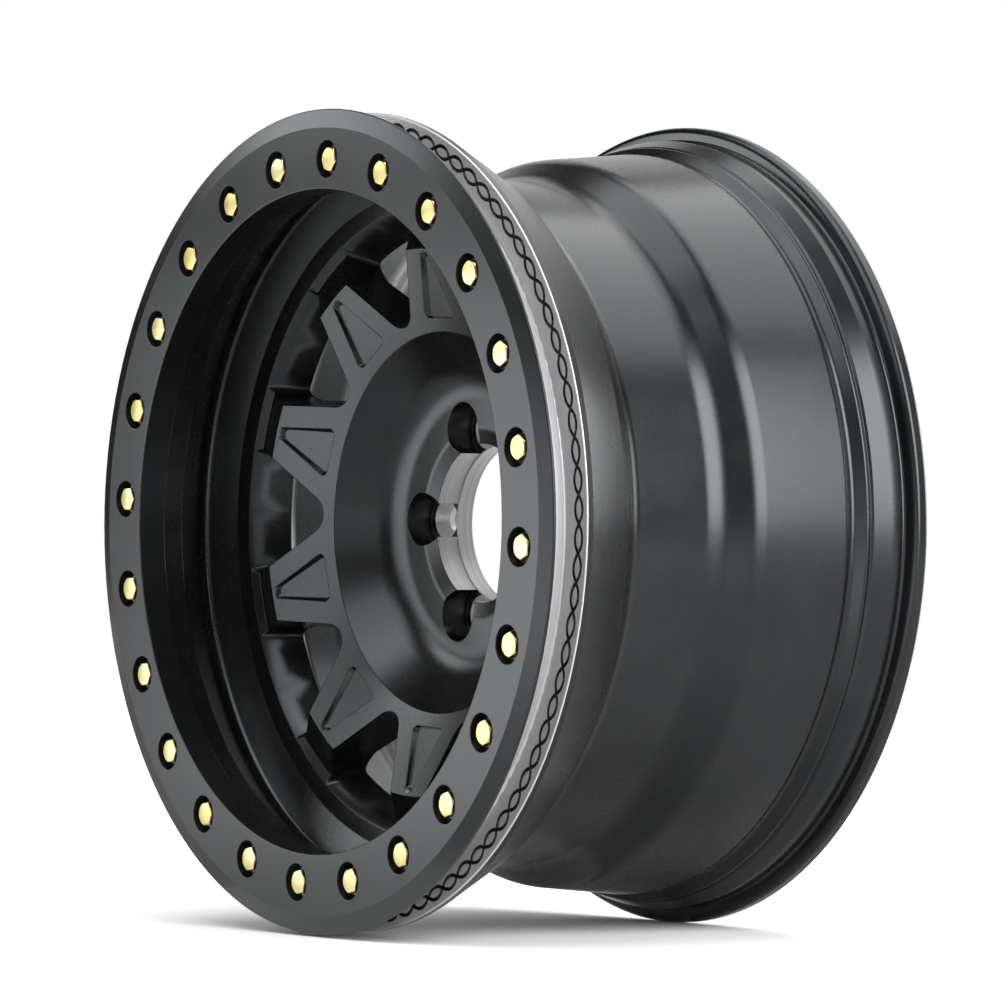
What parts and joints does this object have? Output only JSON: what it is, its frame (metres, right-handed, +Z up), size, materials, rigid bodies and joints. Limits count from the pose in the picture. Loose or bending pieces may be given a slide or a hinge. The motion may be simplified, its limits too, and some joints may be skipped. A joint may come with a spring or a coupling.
{
  "type": "car wheel",
  "caption": "Black off-road car wheel with a bolted bead-clamping ring, spoked dished centre, machined hub bore and conical nut seats.",
  "frame": {"origin": "on the wheel's axis, halfway between the ring's face and the rear lip", "axes": "+Y is the wheel's axis and points inboard, the dished outboard face looks along -Y, +Z is up"},
  "size_m": [0.472, 0.26, 0.472],
  "materials": {
    "wheel_black": "satin black coat on cast aluminium, bare and machined in the bore, on the nut seats and on the clamp face",
    "ring_black": "satin black coat on aluminium",
    "bolt_gold": "yellow zinc plate on steel",
    "washer_steel": "clear zinc plate on steel",
    "insert_steel": "bare steel"
  },
  "bodies": {
    "root": {"wheel": "wheel_black", "beadlock_ring": "ring_black", "beadlock_bolts": "bolt_gold", "bolt_washers": "washer_steel", "thread_inserts": "insert_steel"}
  },
  "joints": []
}
